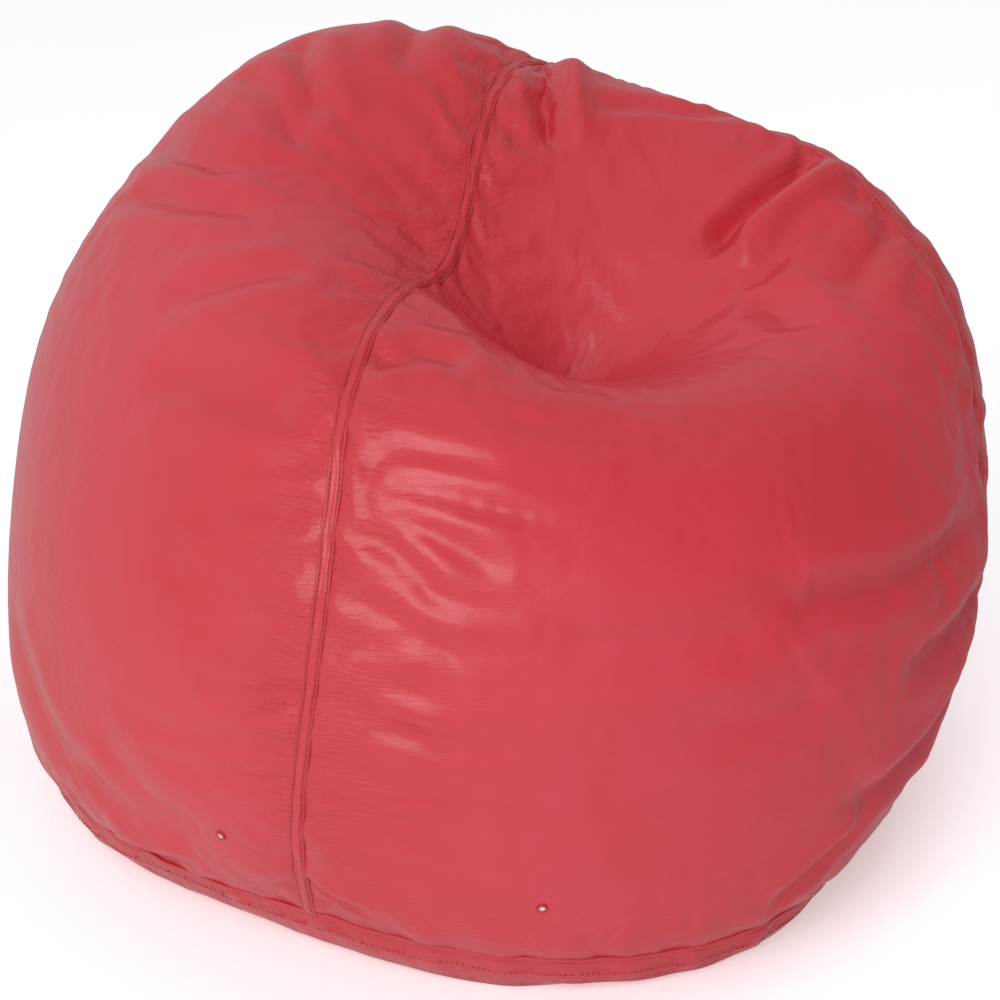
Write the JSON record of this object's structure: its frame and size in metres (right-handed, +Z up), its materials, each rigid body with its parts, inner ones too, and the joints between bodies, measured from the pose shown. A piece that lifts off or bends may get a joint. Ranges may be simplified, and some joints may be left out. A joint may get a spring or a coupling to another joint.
{
  "type": "bean bag chair",
  "caption": "Round vinyl bean bag chair: sewn gores on a base panel with a zip, a liner full of beads, and a seat pressed into the top.",
  "frame": {"origin": "middle of the chair's outline on the floor, at floor level", "axes": "+Z up, -Y towards the front of the seat, +X to the sitter's left hand side as seen from the front on the right"},
  "size_m": [0.7818, 0.7425, 0.5407],
  "materials": {
    "cover_vinyl": "satin",
    "sewing_thread": "matte",
    "vent_plastic": "gloss",
    "vent_gauze": "matte",
    "zip_tape": "matte",
    "zip_coil": "satin",
    "zip_metal": "gloss",
    "liner_cloth": "matte",
    "foam_beads": "matte"
  },
  "bodies": {
    "bag": {"front_panel": "cover_vinyl", "right_panel": "cover_vinyl", "back_panel": "cover_vinyl", "left_panel": "cover_vinyl", "crown_patch": "cover_vinyl", "base_panel_front": "cover_vinyl", "base_panel_rear": "cover_vinyl", "front_seam_strip": "cover_vinyl", "right_seam_strip": "cover_vinyl", "back_seam_strip": "cover_vinyl", "left_seam_strip": "cover_vinyl", "base_seam_cord": "cover_vinyl", "front_seam_thread": "sewing_thread", "right_seam_thread": "sewing_thread", "back_seam_thread": "sewing_thread", "left_seam_thread": "sewing_thread", "base_seam_thread": "sewing_thread", "crown_thread": "sewing_thread", "vent_eyelets": "vent_plastic", "vent_gauzes": "vent_gauze", "cover_zip_tape_front": "zip_tape", "cover_zip_coil_front": "zip_coil", "cover_zip_tape_rear": "zip_tape", "cover_zip_coil_rear": "zip_coil", "cover_zip_stops": "zip_metal", "liner_zip_tape_front": "zip_tape", "liner_zip_coil_front": "zip_coil", "liner_zip_tape_rear": "zip_tape", "liner_zip_coil_rear": "zip_coil", "liner_zip_stops": "zip_metal", "zip_guard_flap": "liner_cloth", "liner_body": "liner_cloth", "liner_base_front": "liner_cloth", "liner_base_rear": "liner_cloth", "bead_fill": "foam_beads"},
    "cover_slider": {"cover_zip_slider": "zip_metal"},
    "liner_slider": {"liner_zip_slider": "zip_metal"}
  },
  "joints": [
    {"name": "cover_zip_slide", "type": "slide", "parent": "bag", "child": "cover_slider", "axis": [-1, 0, 0], "range_m": [0, 0.418]},
    {"name": "liner_zip_slide", "type": "slide", "parent": "bag", "child": "liner_slider", "axis": [-1, 0, 0], "range_m": [0, 0.418]}
  ]
}
